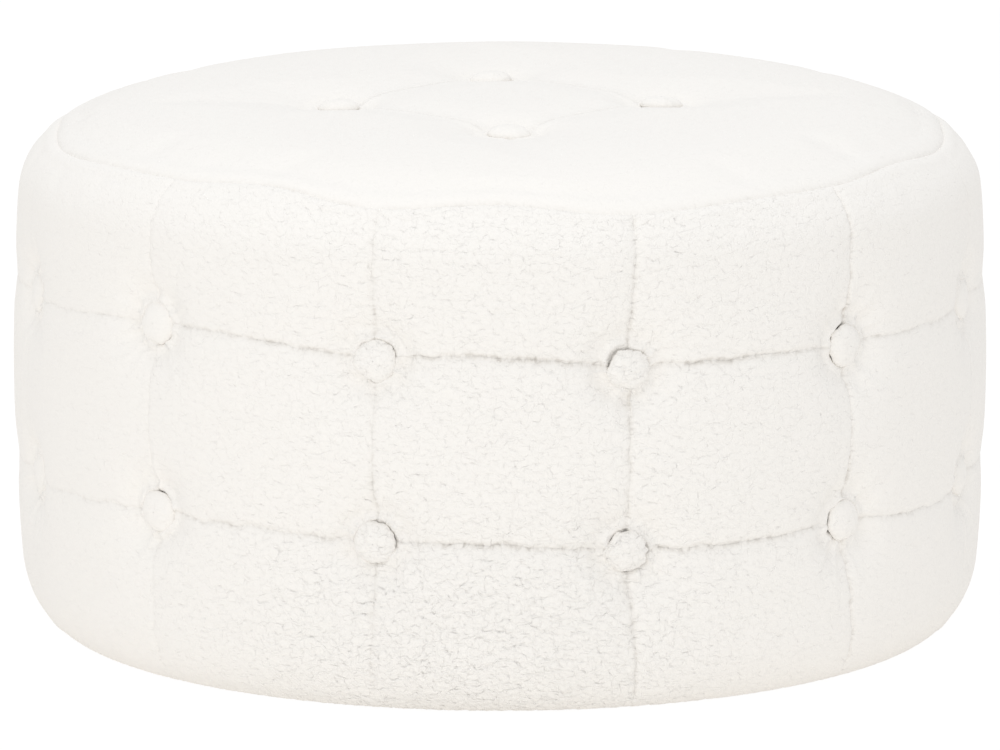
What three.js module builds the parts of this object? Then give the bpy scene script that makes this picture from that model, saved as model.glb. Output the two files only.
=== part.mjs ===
// Round pouffe in curly pile fabric, tufted with covered buttons. Millimetres, +Z up.
// Origin in the middle of the flat underside. The front faces -Y, and angles are counted from it towards +X.

import * as THREE from "three";

// Driving sizes
const RADIUS = 390; // widest, half-way up the side
const CROWN_HEIGHT = 422; // top of the crowned panel
const SEAM_HEIGHT = 400; // mean height of the seam between side and top
const UPPER_ROW = 276; // heights of the two rows of side buttons
const LOWER_ROW = 133;
const BUTTON_RADIUS = 16.5;
const BUTTON_HEIGHT = 12;
const TOP_BUTTON_RING = 129; // distance of the four top buttons from the middle
const TOP_BUTTON_TURN = 3; // degrees that their square is turned by
const GAP = 0.3; // between neighbouring pieces

// Side profile: a barrel with an elliptical edge at the bottom and a larger one at the top
const BARREL_BULGE = 10; // how much narrower the drum is at its ends
const BOTTOM_EDGE = { inward: 28, up: 51 };
const TOP_EDGE = { inward: 73, up: 60 };
const TOP_EDGE_START = 353;
const CROWN_FULLNESS = 7.4; // power of the crown curve: higher is flatter in the middle

// Tufting
const COLUMNS = 12;
const COLUMN_STEP = 360 / COLUMNS;
const FIRST_COLUMN = -75;
const DENT_DEPTH = 19;
const DENT_REACH = 27;
const TOP_DENT_DEPTH = 16;
const TOP_DENT_REACH = 26;
const ROW_CREASE = { depth: 4.5, width: 8 };
const COLUMN_CREASE = { depth: 3.2, width: 7 };
const TOP_CREASE = { depth: 4, width: 9 };
const PULL = { depth: 5, along: 34, width: 11 }; // creases deepen towards each button
const TOP_PULL = { depth: 4, along: 48, width: 10 };
const SOFT_HOLLOW = { depth: 1.2, width: 30 }; // broad hollow that rounds each tufted cell
const SEAM_VALLEY = { depth: 4.5, width: 6 };
const CREASE_FADE = 14; // creases die out over this height at the underside

// Closed ends
const RECESS_FLOOR = 386; // the top panel sits in a shallow recess of the band
const BASE_PANEL = { radius: 331, thickness: 2.4 };

// How uneven the tufting is, column by column across the front half. The back half repeats it.
// seam, upper, lower: height above its mean of the seam and of each button.
// seamBow, upperBow, lowerBow: how far the line to the next column arches above the straight way.
// leans: sideways shift of the column at the seam, at its buttons and at the foot.
const UNEVEN = [
  { seam: -4, seamBow: 1, upper: 3, upperBow: 1, lower: 0, lowerBow: 0, leans: [0, 0, 0] },
  { seam: 1, seamBow: 6, upper: 12, upperBow: 6, lower: 6, lowerBow: 3, leans: [-3, 2, 0] },
  { seam: -4, seamBow: 6, upper: 2, upperBow: 9, lower: 2, lowerBow: 5, leans: [0, 2, -2] },
  { seam: -8, seamBow: 1, upper: -5, upperBow: 3, lower: -5, lowerBow: 0, leans: [8, 0, 9] },
  { seam: -4, seamBow: 4, upper: -5, upperBow: 0, lower: -2, lowerBow: -5, leans: [5, 0, 12] },
  { seam: -4, seamBow: 3, upper: -2, upperBow: 2, lower: -3, lowerBow: 2, leans: [0, 0, 0] },
];

// Surface grid: steps between a crease and the middle of its cell, and how they crowd towards the crease
const SIDE_STEPS = 4;
const SIDE_CROWDING = 2.1;
const TOP_CROWDING = 1.3;
const NEAR_CREASE = [7, 18, 40]; // distances of the rows beside a crease
const BOTTOM_EDGE_ROWS = [0, 0.06, 0.2, 0.48, 0.88]; // parts of the bottom edge's height
const TOP_EDGE_ROWS = [0, 0.3, 0.6, 0.8, 0.93]; // parts of the turn from the side to the seam
const PANEL_EDGE_RINGS = [4, 10, 21, 38, 65]; // distances of the panel's rings from the seam
const SQUARE_REACH = 45; // rings keep the square form out to here beyond it
const BESIDE_SQUARE = [20, 8, 0];
const INSIDE_SQUARE = [0.95, 0.78, 0.4];
const BUTTON_FACETS = 12;
const BASE_FACETS = 48;

const radians = THREE.MathUtils.degToRad;
const smooth = THREE.MathUtils.smoothstep;
const mix = THREE.MathUtils.lerp;

// Unevenness at column k, counted round the whole drum
function column(k) {
  return UNEVEN[THREE.MathUtils.euclideanModulo(k, UNEVEN.length)];
}

function columnAngle(k) {
  return FIRST_COLUMN + k * COLUMN_STEP;
}

// Two forms of bow between columns: a seam swells softly, a crease springs from its buttons
const softBow = (part) => Math.sin(Math.PI * part) ** 2;
const archBow = (part) => 4 * part * (1 - part);

// Height above its mean of a line that runs round the drum from column to column
function wander(angle, name, bow) {
  const place = (angle - FIRST_COLUMN) / COLUMN_STEP;
  const k = Math.floor(place);
  const part = place - k;
  const straight = mix(column(k)[name], column(k + 1)[name], smooth(part, 0, 1));
  return straight + column(k)[name + "Bow"] * bow(part);
}

const seamHeight = (angle) => SEAM_HEIGHT + wander(angle, "seam", softBow);
const upperHeight = (angle) => UPPER_ROW + wander(angle, "upper", archBow);
const lowerHeight = (angle) => LOWER_ROW + wander(angle, "lower", archBow);

// Sideways shift in mm, at a height, of the vertical line of column k
function lean(k, height) {
  const [seamLean, buttonLean, footLean] = column(k).leans;
  if (height > UPPER_ROW) {
    return mix(buttonLean, seamLean, smooth(height, UPPER_ROW, SEAM_HEIGHT));
  }
  return mix(footLean, buttonLean, smooth(height, 0, LOWER_ROW));
}

// The angle at which a line drawn straight up at an angle really lies at a height, leaning as its columns do
function leaned(angle, height) {
  const place = (angle - FIRST_COLUMN) / COLUMN_STEP;
  const k = Math.floor(place);
  const sideways = mix(lean(k, height), lean(k + 1, height), smooth(place - k, 0, 1));
  return angle + THREE.MathUtils.radToDeg(sideways / RADIUS);
}

// Radius of the untufted side at a height
function sideRadius(height) {
  const half = TOP_EDGE_START + TOP_EDGE.up;
  const ends = (2 * height) / half - 1;
  let radius = RADIUS - BARREL_BULGE * ends * ends;
  if (height < BOTTOM_EDGE.up) {
    const part = 1 - height / BOTTOM_EDGE.up;
    radius -= BOTTOM_EDGE.inward * (1 - Math.sqrt(1 - part * part));
  }
  if (height > TOP_EDGE_START) {
    const part = (height - TOP_EDGE_START) / TOP_EDGE.up;
    radius -= TOP_EDGE.inward * (1 - Math.sqrt(1 - part * part));
  }
  return radius;
}

// Outward direction of the side profile at a height, as [radial, upward]
function sideNormal(height) {
  const step = 0.5;
  const low = Math.max(0, height - step);
  const slope = (sideRadius(height + step) - sideRadius(low)) / (height + step - low);
  const length = Math.hypot(1, slope);
  return [1 / length, -slope / length];
}

// A crease's depth at a distance across it
const valley = ({ depth, width }, across) => depth * Math.exp(-Math.abs(across) / width);

// How strongly a button holds the cloth down at a distance, from 1 under it to 0
const held = (distance, reach) => 1 / (1 + (distance / reach) ** 4);

// How far the tufting draws the side inwards at an angle and a height
function sideTuft(angle, height) {
  const k = Math.round((angle - FIRST_COLUMN) / COLUMN_STEP);
  const fromColumn = radians(angle - columnAngle(k)) * RADIUS;
  const rows = [height - upperHeight(angle), height - lowerHeight(angle)];
  const fromRow = Math.abs(rows[0]) < Math.abs(rows[1]) ? rows[0] : rows[1];
  const away = Math.hypot(fromColumn, fromRow);
  const creases = Math.max(valley(COLUMN_CREASE, fromColumn), valley(ROW_CREASE, fromRow));
  const across = Math.min(Math.abs(fromColumn), Math.abs(fromRow));
  const pull = valley(PULL, across) * Math.exp(-away / PULL.along);
  const hollow = valley(SOFT_HOLLOW, fromColumn) + valley(SOFT_HOLLOW, fromRow);
  const grip = held(away, DENT_REACH);
  return mix(creases + pull + hollow, DENT_DEPTH, grip) * smooth(height, 0, CREASE_FADE);
}

// Angles of the grid lines round the drum, crowded at the columns, one list entry for each line
function sideAngles() {
  const list = [];
  for (let k = 0; k < COLUMNS; k++) {
    for (let step = -SIDE_STEPS; step < SIDE_STEPS; step++) {
      const offset = (COLUMN_STEP / 2) * (Math.abs(step) / SIDE_STEPS) ** SIDE_CROWDING;
      list.push(columnAngle(k) + Math.sign(step) * offset);
    }
  }
  return list;
}

// The same number of lines, crowded at the four top buttons
function topAngles(count, nearest) {
  const quarter = count / 4;
  const half = quarter / 2;
  return Array.from({ length: count }, (unused, j) => {
    const turn = j - nearest + half;
    const step = THREE.MathUtils.euclideanModulo(turn, quarter) - half;
    const offset = 45 * (Math.abs(step) / half) ** TOP_CROWDING;
    return TOP_BUTTON_TURN + 90 * Math.floor(turn / quarter) + Math.sign(step) * offset;
  });
}

// A point at an angle from the front, a radius and a height
function point(angle, radius, height) {
  return new THREE.Vector3(radius * Math.sin(radians(angle)), -radius * Math.cos(radians(angle)), height);
}

// Heights of the grid rows at an angle, from the underside up to just below the seam
function sideRows(angle) {
  const lower = lowerHeight(angle);
  const upper = upperHeight(angle);
  const seam = seamHeight(angle);
  const edge = BOTTOM_EDGE_ROWS.map((part) => part * BOTTOM_EDGE.up);
  const below = NEAR_CREASE.toReversed().map((away) => lower - away);
  const between = [
    ...NEAR_CREASE.map((away) => lower + away),
    (lower + upper) / 2,
    ...NEAR_CREASE.toReversed().map((away) => upper - away),
  ];
  const above = NEAR_CREASE.map((away) => upper + away);
  const roll = Math.asin((seam - TOP_EDGE_START) / TOP_EDGE.up);
  const over = TOP_EDGE_ROWS.map((part) => TOP_EDGE_START + TOP_EDGE.up * Math.sin(part * roll));
  return [...edge, (edge.at(-1) + below[0]) / 2, ...below, lower, ...between, upper, ...above, ...over];
}

// Surface of the side at an angle and a height, with its tufting and the valley of the seam
function sidePoint(angle, height) {
  const seam = seamHeight(angle);
  const radius = sideRadius(height);
  const [outward, upward] = sideNormal(height);
  const fromSeam = Math.hypot(seam - height, radius - sideRadius(seam));
  const fade = smooth(fromSeam, 0, 2 * SEAM_VALLEY.width);
  const inward = sideTuft(angle, height) * fade + valley(SEAM_VALLEY, fromSeam);
  const sunk = inward * upward * smooth(height, 0, BOTTOM_EDGE.up);
  return point(leaned(angle, height), radius - inward * outward, height - sunk);
}

// Upward crown of the top panel at an angle and a radius
function crownHeight(angle, radius) {
  const seam = seamHeight(angle);
  return CROWN_HEIGHT - (CROWN_HEIGHT - seam) * (radius / sideRadius(seam)) ** CROWN_FULLNESS;
}

function topButtonPlace(k) {
  return point(TOP_BUTTON_TURN + 90 * k, TOP_BUTTON_RING, 0);
}

// Angle from the middle of the nearest side of the square whose corners are the top buttons
function squareTurn(angle) {
  return THREE.MathUtils.euclideanModulo(angle - TOP_BUTTON_TURN, 90) - 45;
}

// Radius of that square at an angle
function squareRadius(angle) {
  return (TOP_BUTTON_RING * Math.SQRT1_2) / Math.cos(radians(squareTurn(angle)));
}

// How far the tufting draws the top down at an angle and a radius
function topTuft(angle, radius) {
  const here = point(angle, radius, 0);
  const away = Math.min(...[0, 1, 2, 3].map((k) => here.distanceTo(topButtonPlace(k))));
  const turn = Math.abs(squareTurn(angle));
  const fromSquare = radius * Math.cos(radians(turn)) - TOP_BUTTON_RING * Math.SQRT1_2;
  const fromSpoke = radius * Math.sin(radians(45 - turn));
  const square = valley(TOP_CREASE, fromSquare);
  const outside = smooth(radius, TOP_BUTTON_RING - TOP_PULL.width, TOP_BUTTON_RING + TOP_PULL.width);
  const pull = valley(TOP_PULL, fromSpoke) * Math.exp(-away / TOP_PULL.along) * outside;
  const hollow = valley(SOFT_HOLLOW, fromSquare);
  return mix(square + pull + hollow, TOP_DENT_DEPTH, held(away, TOP_DENT_REACH));
}

// Surface of the top panel at an angle and a radius
function topPoint(angle, radius) {
  const seamRadius = sideRadius(seamHeight(angle));
  const fromSeam = seamRadius - radius;
  const fade = smooth(fromSeam, 0, 2 * SEAM_VALLEY.width);
  const inward = topTuft(angle, radius) * fade + valley(SEAM_VALLEY, fromSeam);
  const turned = mix(angle, leaned(angle, SEAM_HEIGHT), smooth(radius, seamRadius / 2, seamRadius));
  return point(turned, radius, crownHeight(angle, radius) - inward);
}

// A closed mesh from rings of points between two poles, its faces outwards when the rings go upwards
function closedRings(firstPole, rings, lastPole) {
  const count = rings[0].length;
  const points = [firstPole, ...rings.flat(), lastPole];
  const faces = [];
  for (let j = 0; j < count; j++) {
    const next = (j + 1) % count;
    faces.push(0, 1 + next, 1 + j);
    for (let i = 0; i + 1 < rings.length; i++) {
      const low = 1 + i * count;
      const high = low + count;
      faces.push(low + j, low + next, high + next, low + j, high + next, high + j);
    }
    const last = 1 + (rings.length - 1) * count;
    faces.push(points.length - 1, last + j, last + next);
  }
  const geometry = new THREE.BufferGeometry().setFromPoints(points);
  geometry.setIndex(faces);
  geometry.computeVertexNormals();
  return geometry;
}

// A point of the edge of band or panel in the seam's valley, or straight below it at a height
function lip(angle, inset, height) {
  const seam = seamHeight(angle);
  const edge = sidePoint(angle, seam);
  return point(leaned(angle, seam), Math.hypot(edge.x, edge.y) - inset, height ?? edge.z);
}

// Side band: out along the underside, up the tufted side, over the edge to the seam, and across the recess
function sideBand() {
  const angles = sideAngles();
  const recess = BASE_PANEL.radius + GAP;
  const ceiling = BASE_PANEL.thickness + GAP;
  const rowCount = sideRows(0).length;
  const rings = [
    angles.map((angle) => point(angle, recess, ceiling)),
    angles.map((angle) => point(angle, recess, 0)),
  ];
  for (let i = 0; i < rowCount; i++) {
    rings.push(angles.map((angle) => sidePoint(angle, sideRows(angle)[i])));
  }
  rings.push(angles.map((angle) => lip(angle, 0)));
  rings.push(angles.map((angle) => lip(angle, 0, RECESS_FLOOR)));
  return closedRings(new THREE.Vector3(0, 0, ceiling), rings, new THREE.Vector3(0, 0, RECESS_FLOOR));
}

// Top panel: a crowned pad whose edge drops into the seam's valley
function topPanel() {
  const outer = sideAngles();
  const front = outer.findIndex((angle) => Math.abs(angle) < 1e-9);
  const inner = topAngles(outer.length, front);
  const floor = RECESS_FLOOR + GAP;
  const rings = [
    outer.map((angle) => lip(angle, GAP, floor)),
    outer.map((angle) => lip(angle, GAP)),
  ];
  const [ease, last] = [PANEL_EDGE_RINGS[2], PANEL_EDGE_RINGS.at(-1)];
  const eased = (inset) => smooth(inset, ease, 2 * last);
  for (const inset of PANEL_EDGE_RINGS) {
    rings.push(outer.map((angle, j) => {
      return topPoint(mix(angle, inner[j], eased(inset)), sideRadius(seamHeight(angle)) - inset);
    }));
  }
  for (const part of [0.5, 1]) {
    rings.push(outer.map((angle, j) => {
      const turned = mix(angle, inner[j], mix(eased(last), 1, part));
      const near = squareRadius(inner[j]) + SQUARE_REACH;
      return topPoint(turned, mix(sideRadius(SEAM_HEIGHT) - last, near, part));
    }));
  }
  for (const outside of BESIDE_SQUARE) {
    rings.push(inner.map((angle) => topPoint(angle, squareRadius(angle) + outside)));
  }
  for (const part of INSIDE_SQUARE) {
    rings.push(inner.map((angle) => topPoint(angle, squareRadius(angle) * part)));
  }
  return closedRings(new THREE.Vector3(0, 0, floor), rings, topPoint(0, 0));
}

// Base panel: a plain disc of cloth, flat on the floor
function basePanel() {
  const { radius, thickness } = BASE_PANEL;
  const geometry = new THREE.CylinderGeometry(radius, radius, thickness, BASE_FACETS);
  return geometry.rotateX(Math.PI / 2).translate(0, 0, thickness / 2);
}

// Covered button: a low dome with a narrower back, its axis along +Z and its back at zero
function button() {
  const outline = [
    [0, 0],
    [0.25, 0],
    [1, 0.42],
    [0.88, 0.75],
    [0.48, 0.95],
    [0, 1],
  ].map(([out, up]) => new THREE.Vector2(out * BUTTON_RADIUS, up * BUTTON_HEIGHT));
  return new THREE.LatheGeometry(outline, BUTTON_FACETS).rotateX(Math.PI / 2);
}

function fabric(color) {
  return new THREE.MeshStandardMaterial({ color, roughness: 0.95, metalness: 0 });
}

const pile = fabric(0xf4f0e8);
const cover = fabric(0xf7f3ec);
const lining = fabric(0xd9d5cc);

function piece(name, geometry, material) {
  const mesh = new THREE.Mesh(geometry, material);
  mesh.name = name;
  return mesh;
}

// Side buttons: each in the bottom of its dent, facing outwards
function sideButtons(row, rowHeight) {
  const group = new THREE.Group();
  for (let k = 0; k < COLUMNS; k++) {
    const angle = columnAngle(k);
    const height = rowHeight(angle);
    const outward = point(leaned(angle, height), ...sideNormal(height));
    const mesh = piece(`side_button_${row}_${String(k + 1).padStart(2, "0")}`, button(), cover);
    mesh.position.copy(sidePoint(angle, height)).addScaledVector(outward, GAP);
    mesh.quaternion.setFromUnitVectors(new THREE.Vector3(0, 0, 1), outward);
    group.add(mesh);
  }
  return group;
}

// Top buttons: each upright in its dent
function topButtons() {
  const group = new THREE.Group();
  ["front", "right", "back", "left"].forEach((name, k) => {
    const mesh = piece(`top_button_${name}`, button(), cover);
    mesh.position.copy(topPoint(TOP_BUTTON_TURN + 90 * k, TOP_BUTTON_RING));
    mesh.position.z += GAP;
    group.add(mesh);
  });
  return group;
}

const pouffe = new THREE.Group();
pouffe.add(piece("side_band", sideBand(), pile));
pouffe.add(piece("top_panel", topPanel(), pile));
pouffe.add(piece("base_panel", basePanel(), lining));
pouffe.add(sideButtons("upper", upperHeight), sideButtons("lower", lowerHeight), topButtons());

export default pouffe;
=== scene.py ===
"""Round tufted pouffe in curly pile fabric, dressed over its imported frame. Metres, +Z up, the front faces -Y.
Angles are in degrees, counted from the front towards +X."""

import math

import bpy
import numpy as np
from bpy.props import FloatProperty, FloatVectorProperty, PointerProperty
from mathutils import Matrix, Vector


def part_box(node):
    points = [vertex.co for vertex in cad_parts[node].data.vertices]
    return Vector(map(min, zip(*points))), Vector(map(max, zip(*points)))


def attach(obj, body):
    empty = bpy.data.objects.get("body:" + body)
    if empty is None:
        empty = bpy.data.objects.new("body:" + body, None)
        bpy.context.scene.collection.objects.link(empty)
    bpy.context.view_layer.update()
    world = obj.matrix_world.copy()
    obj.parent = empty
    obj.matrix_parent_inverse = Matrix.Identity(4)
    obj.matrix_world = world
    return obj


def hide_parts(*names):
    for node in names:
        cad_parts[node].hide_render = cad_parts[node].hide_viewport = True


bl_info = {
    "name": "Round Tufted Pouffe",
    "version": (1, 0, 0),
    "blender": (4, 5, 0),
    "location": "3D View > Sidebar > Pouffe",
    "description": "Builds a round button-tufted pouffe in curly pile fabric, with its studio",
    "category": "Add Mesh",
}

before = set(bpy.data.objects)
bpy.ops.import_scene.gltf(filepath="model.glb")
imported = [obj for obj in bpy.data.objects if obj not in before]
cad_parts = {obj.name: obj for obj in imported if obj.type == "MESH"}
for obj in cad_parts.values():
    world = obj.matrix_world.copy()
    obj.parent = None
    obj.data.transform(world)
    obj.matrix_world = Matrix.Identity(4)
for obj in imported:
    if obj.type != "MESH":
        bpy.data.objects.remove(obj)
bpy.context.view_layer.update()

# Side profile: a barrel with an elliptical edge at the bottom and a larger one at the top
BARREL_BULGE = 0.010
BOTTOM_EDGE = {"inward": 0.028, "up": 0.051}
TOP_EDGE = {"inward": 0.073, "up": 0.060, "start": 0.353}
CROWN_FULLNESS = 7.4

# Tufting. The side has equal columns. Its cloth is slackest a quarter turn away from where it is tightest.
COLUMNS = 12
COLUMN_STEP = 360 / COLUMNS
FIRST_COLUMN = -75
SLACK = 0.25
TIGHTEST = 8.0
DENT_REACH, SLACK_REACH = 0.027, 0.021
TOP_DENT = {"depth": 0.016, "reach": 0.026}
ROW_CREASE = {"depth": 0.0045, "width": 0.0062}
COLUMN_CREASE = {"depth": 0.0032, "width": 0.0056}
TOP_CREASE = {"depth": 0.0026, "width": 0.008}
PULL = {"depth": 0.005, "along": 0.034, "width": 0.011}
TOP_PULL = {"depth": 0.0028, "along": 0.048, "width": 0.010}
SOFT_HOLLOW = {"depth": 0.0012, "width": 0.030}
SEAM_VALLEY = {"depth": 0.0045, "width": 0.006}
CREASE_FADE = 0.014
WIGGLE = {"amount": 0.0013, "size": 0.011}
GAP = 0.0003
RECESS_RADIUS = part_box("base_panel")[1].x + GAP

# Round each button: folds that run out from it, and cloth that stands up against it
GATHER = {"folds": 13, "depth": 0.0046, "from": 0.010, "start": 0.019, "along": 0.017}
COLLAR = {"height": 0.0074, "radius": 0.0182, "slack_radius": 0.0168, "width": 0.0043, "uneven": 0.0024}
TOP_COLLAR = 0.0036

# Sewn lines in the creases: how wide, wavering and deep they are, and how much of the painted crease shade they
# take
SEWN_LINE = {"width": 0.0014, "waver": 0.0009, "waver_size": 0.0065, "depth": 0.0022}
SEWN_FIRM = {"mean": 0.78, "uneven": 0.4, "least": 0.3, "size": 0.019}
SIDE_CREASE_SHADE, TOP_CREASE_SHADE = 0.7, 0.25

# How firm a column's line is all along it, near a button and a little above one, and how firm the seam's is
COLUMN_LINE = {"least": 0.35, "near": 0.55, "reach": 0.05, "above": 0.30, "place": 0.034, "width": 0.020}
SEAM_FIRM = 0.8

# How uneven the tufting is, in mm, column by column across the front half. The back half repeats it.
# seam, upper, lower: height above its mean of the seam and of each button. The bows arch the lines between.
# at_seam, at_buttons, at_foot: sideways shift of the column at three heights.
UNEVEN = {
    "seam": [-4, 1, -4, -8, -4, -4],
    "seam_bow": [1, 6, 6, 1, 4, 3],
    "upper": [3, 12, 2, -5, -5, -2],
    "upper_bow": [1, 6, 9, 3, 0, 2],
    "lower": [0, 6, 2, -5, -2, -3],
    "lower_bow": [0, 3, 5, 0, -5, 2],
    "at_seam": [0, -3, 0, 8, 5, 0],
    "at_buttons": [0, 2, 2, 0, 0, 0],
    "at_foot": [0, 0, -2, 9, 12, 0],
}
COLUMN_FIRM = [0.6, 0.7, 0.8, 1.15, 1.6, 0.8]

# Lumps of the pile: how wide and high they are, and their share in its height. They bend by up to BEND.
LUMPS = [{"wide": 0.0064, "high": 0.0042, "share": 0.46}, {"wide": 0.0034, "high": 0.0025, "share": 0.36}]
BEND = {"amount": 0.0027, "size": 0.0058}
SWELL = {"share": 0.40, "size": 0.0085}
FIBRES = {"share": 0.10, "size": 1 / 850}

# How far the pile stands up at both flanks, on the top and on the buttons. It also sets how much painted shade
# its hollows get.
FLAT_STAND, TOP_STAND, BUTTON_STAND = 0.25, 0.28, 1.15
BUTTON_PILE = 1.7

# How that changes between two heights of the side: where it stands up most, how it flattens, and its share
STAND = {"heights": (0.05, 0.20), "angle": (-3, 3), "fall": (5, 2), "share": (1.10, 0.72)}

# How the filling pushes the cover out. Its cloth is a little too wide, and a coarse grid of it is simulated.
SWELLING = {"step": 4, "frames": 20, "growth": 0.010, "pressure": 5.0, "stretch": 15.0, "bending": 10.0,
            "share": 0.6, "most": 0.006}
SIDE_TAKEN_IN, TOP_TAKEN_IN = 0.0025, 0.0050

# What holds the cover: where its hold ends round a button and at an edge, and how a sewn crease holds it
BUTTON_HOLD, EDGE_HOLD = (0.017, 0.024), (0.006, 0.016)
SEWN_HOLD = {"share": 0.85, "width": 0.006}

# Grid of the covers: steps in a cell from crease to crease, and how much the lines crowd beside a crease
CELL_STEPS = 112
UNDER_ROWS = 8
LOWER_ROWS = 76
MIDDLE_ROWS = 76
UPPER_ROWS = 84
CROWDING = {"extra": 0.9, "reach": 0.006}

# Grid of the top: square lines in the middle, a step apart, that turn into rings towards its edge
TOP_RINGS = 148
TOP_STEP = 0.00207
TOP_ROUNDS = (0.28, 1.0)
TOP_EDGE_INWARD = 0.044

# Outline of a button, from the middle of its front to that of its back, as shares of its radius and height
BUTTON_OUTLINE = [(0.0, 1.0), (0.30, 0.985), (0.58, 0.92), (0.84, 0.77), (0.98, 0.57), (1.0, 0.42),
                  (0.90, 0.28), (0.6, 0.12), (0.25, 0.0)]
BUTTON_RINGS = 19
BUTTON_SPOKES = 54
BUTTON_TILT = 0.04

# Bumps in the outline of a button, and the step from one button's bumps to the next
BUTTON_BUMPS = [{"amount": 0.07, "count": 9, "step": 0.37}, {"amount": 0.06, "count": 25, "step": 0.53}]

# What the camera sees behind the pouffe is a little whiter than white
WHITE = 1.06
FLOOR = {"size": 16.0, "below": 0.0005}
CAMERA = {"place": (0, -7.02, 1.609), "down": 0.19905, "lens": 320.13}
LIGHTS = {"key": ((-1.4, -2.9, 2.6), (1.0, 0.99, 0.97)), "front": ((0, -4.5, 1.2), (1.0, 1.0, 1.0)),
          "top": ((0, 0, 3.2), (1.0, 1.0, 1.0))}
LIGHT_SIZE = 1.6
LIT_POINT = (0, 0, 0.2)

SIDES = ["front", "right", "back", "left"]


def smooth(x, low, high):
    """Eased step from 0 at low to 1 at high."""
    part = np.clip((x - low) / (high - low), 0.0, 1.0)
    return part * part * (3 - 2 * part)


def mix(a, b, share):
    """What lies between a and b."""
    return a + (b - a) * share


def valley(crease, across):
    """Depth of a crease at a distance across it."""
    return crease["depth"] * np.exp(-np.abs(across) / crease["width"])


def held(distance, reach):
    """How strongly a button holds the cloth down at a distance, from 1 under it to 0."""
    return 1 / (1 + (distance / reach) ** 4)


def uneven(name, k):
    """Unevenness of a column in metres."""
    return np.array(UNEVEN[name])[k % 6] * 0.001


def column_of(angle):
    """The column to the left of each angle, and how far the angle is on the way to the next."""
    place = (angle - FIRST_COLUMN) / COLUMN_STEP
    k = np.floor(place).astype(int)
    return k, place - k


def wander(angle, name, bow):
    """How far a line that runs round the side lies above its mean height."""
    k, part = column_of(angle)
    straight = mix(uneven(name, k), uneven(name, k + 1), smooth(part, 0, 1))
    return straight + uneven(name + "_bow", k) * bow(part)


def soft_bow(part):
    """Bow that starts and ends level."""
    return np.sin(np.pi * part) ** 2


def arch_bow(part):
    """Bow with a bend at each end."""
    return 4 * part * (1 - part)


def lean(shape, k, height):
    """Sideways shift of a column at a height."""
    above = smooth(height, shape.upper_row, shape.seam_height)
    below = smooth(height, 0, shape.lower_row)
    low = mix(uneven("at_foot", k), uneven("at_buttons", k), below)
    return np.where(height > shape.upper_row, mix(uneven("at_buttons", k), uneven("at_seam", k), above), low)


def leaned(shape, angle, height):
    """Angle at which a line drawn straight up at an angle really lies at a height."""
    k, part = column_of(angle)
    sideways = mix(lean(shape, k, height), lean(shape, k + 1, height), smooth(part, 0, 1))
    return angle + np.degrees(sideways / shape.radius)


def seam_line(shape, angle):
    """Height of the top seam."""
    return shape.seam_height + wander(angle, "seam", soft_bow)


def upper_line(shape, angle):
    """Height of the crease through the upper buttons."""
    return shape.upper_row + wander(angle, "upper", arch_bow)


def lower_line(shape, angle):
    """Height of the crease through the lower buttons."""
    return shape.lower_row + wander(angle, "lower", arch_bow)


def side_radius(shape, height):
    """Radius of the untufted side at a height."""
    half = TOP_EDGE["start"] + TOP_EDGE["up"]
    radius = shape.radius - BARREL_BULGE * (2 * height / half - 1) ** 2
    low = np.clip(1 - height / BOTTOM_EDGE["up"], 0, 1)
    high = np.clip((height - TOP_EDGE["start"]) / TOP_EDGE["up"], 0, 1)
    radius = radius - BOTTOM_EDGE["inward"] * (1 - np.sqrt(1 - low * low))
    return radius - TOP_EDGE["inward"] * (1 - np.sqrt(1 - high * high))


def side_profile(shape):
    """The untufted side from the base panel to above the seam: its length, radius, height and normal."""
    foot = float(side_radius(shape, np.array(0.0)))
    turn = np.linspace(0, 1, 400)
    low = BOTTOM_EDGE["up"] * (1 - np.cos(turn * np.pi / 2))
    middle = np.linspace(BOTTOM_EDGE["up"], TOP_EDGE["start"], 400)[1:]
    high = TOP_EDGE["start"] + TOP_EDGE["up"] * np.sin(turn[1:-30] * np.pi / 2)
    height = np.concatenate([np.zeros(40), low, middle, high])
    radius = np.concatenate([np.linspace(RECESS_RADIUS, foot, 41)[:-1], side_radius(shape, height[40:])])
    step = np.hypot(np.diff(radius), np.diff(height))
    length = np.concatenate([[0], np.cumsum(step)])
    out = np.gradient(height, length)
    up = -np.gradient(radius, length)
    size = np.hypot(out, up)
    return {"length": length, "radius": radius, "height": height, "out": out / size, "up": up / size}


def crowded(count, length):
    """Parts from 0 to 1 that crowd towards both ends of a length."""
    x = np.linspace(0, 1, 2000)
    ends = np.exp(-x * length / CROWDING["reach"]) + np.exp(-(1 - x) * length / CROWDING["reach"])
    density = 1 + CROWDING["extra"] * ends
    total = np.concatenate([[0], np.cumsum((density[1:] + density[:-1]) / 2)])
    return np.interp(np.linspace(0, total[-1], count + 1), total, x)


def side_angles(shape):
    """Angles of the grid lines round the drum, from the column at the front's left."""
    cell = np.radians(COLUMN_STEP) * shape.radius
    parts = crowded(CELL_STEPS, cell)[:-1]
    return np.concatenate([FIRST_COLUMN + COLUMN_STEP * (k + 1 + parts) for k in range(COLUMNS)])


def side_lengths(shape, profile, angles):
    """How far along the profile each grid row lies at each angle. Rows follow the creases and the seam."""
    def at(height):
        return np.interp(height, profile["height"][40:], profile["length"][40:])

    foot = profile["length"][40]
    stops = [np.zeros_like(angles), np.full_like(angles, foot)]
    stops += [at(line(shape, angles)) for line in (lower_line, upper_line, seam_line)]
    counts = [UNDER_ROWS, LOWER_ROWS, MIDDLE_ROWS, UPPER_ROWS]
    rows = []
    for start, end, count in zip(stops[:-1], stops[1:], counts):
        even = count == UNDER_ROWS
        parts = np.linspace(0, 1, count + 1) if even else crowded(count, float(np.mean(end - start)))
        rows.append(mix(start, end, parts[:-1, None]))
    return np.concatenate([*rows, stops[-1][None]])


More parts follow.
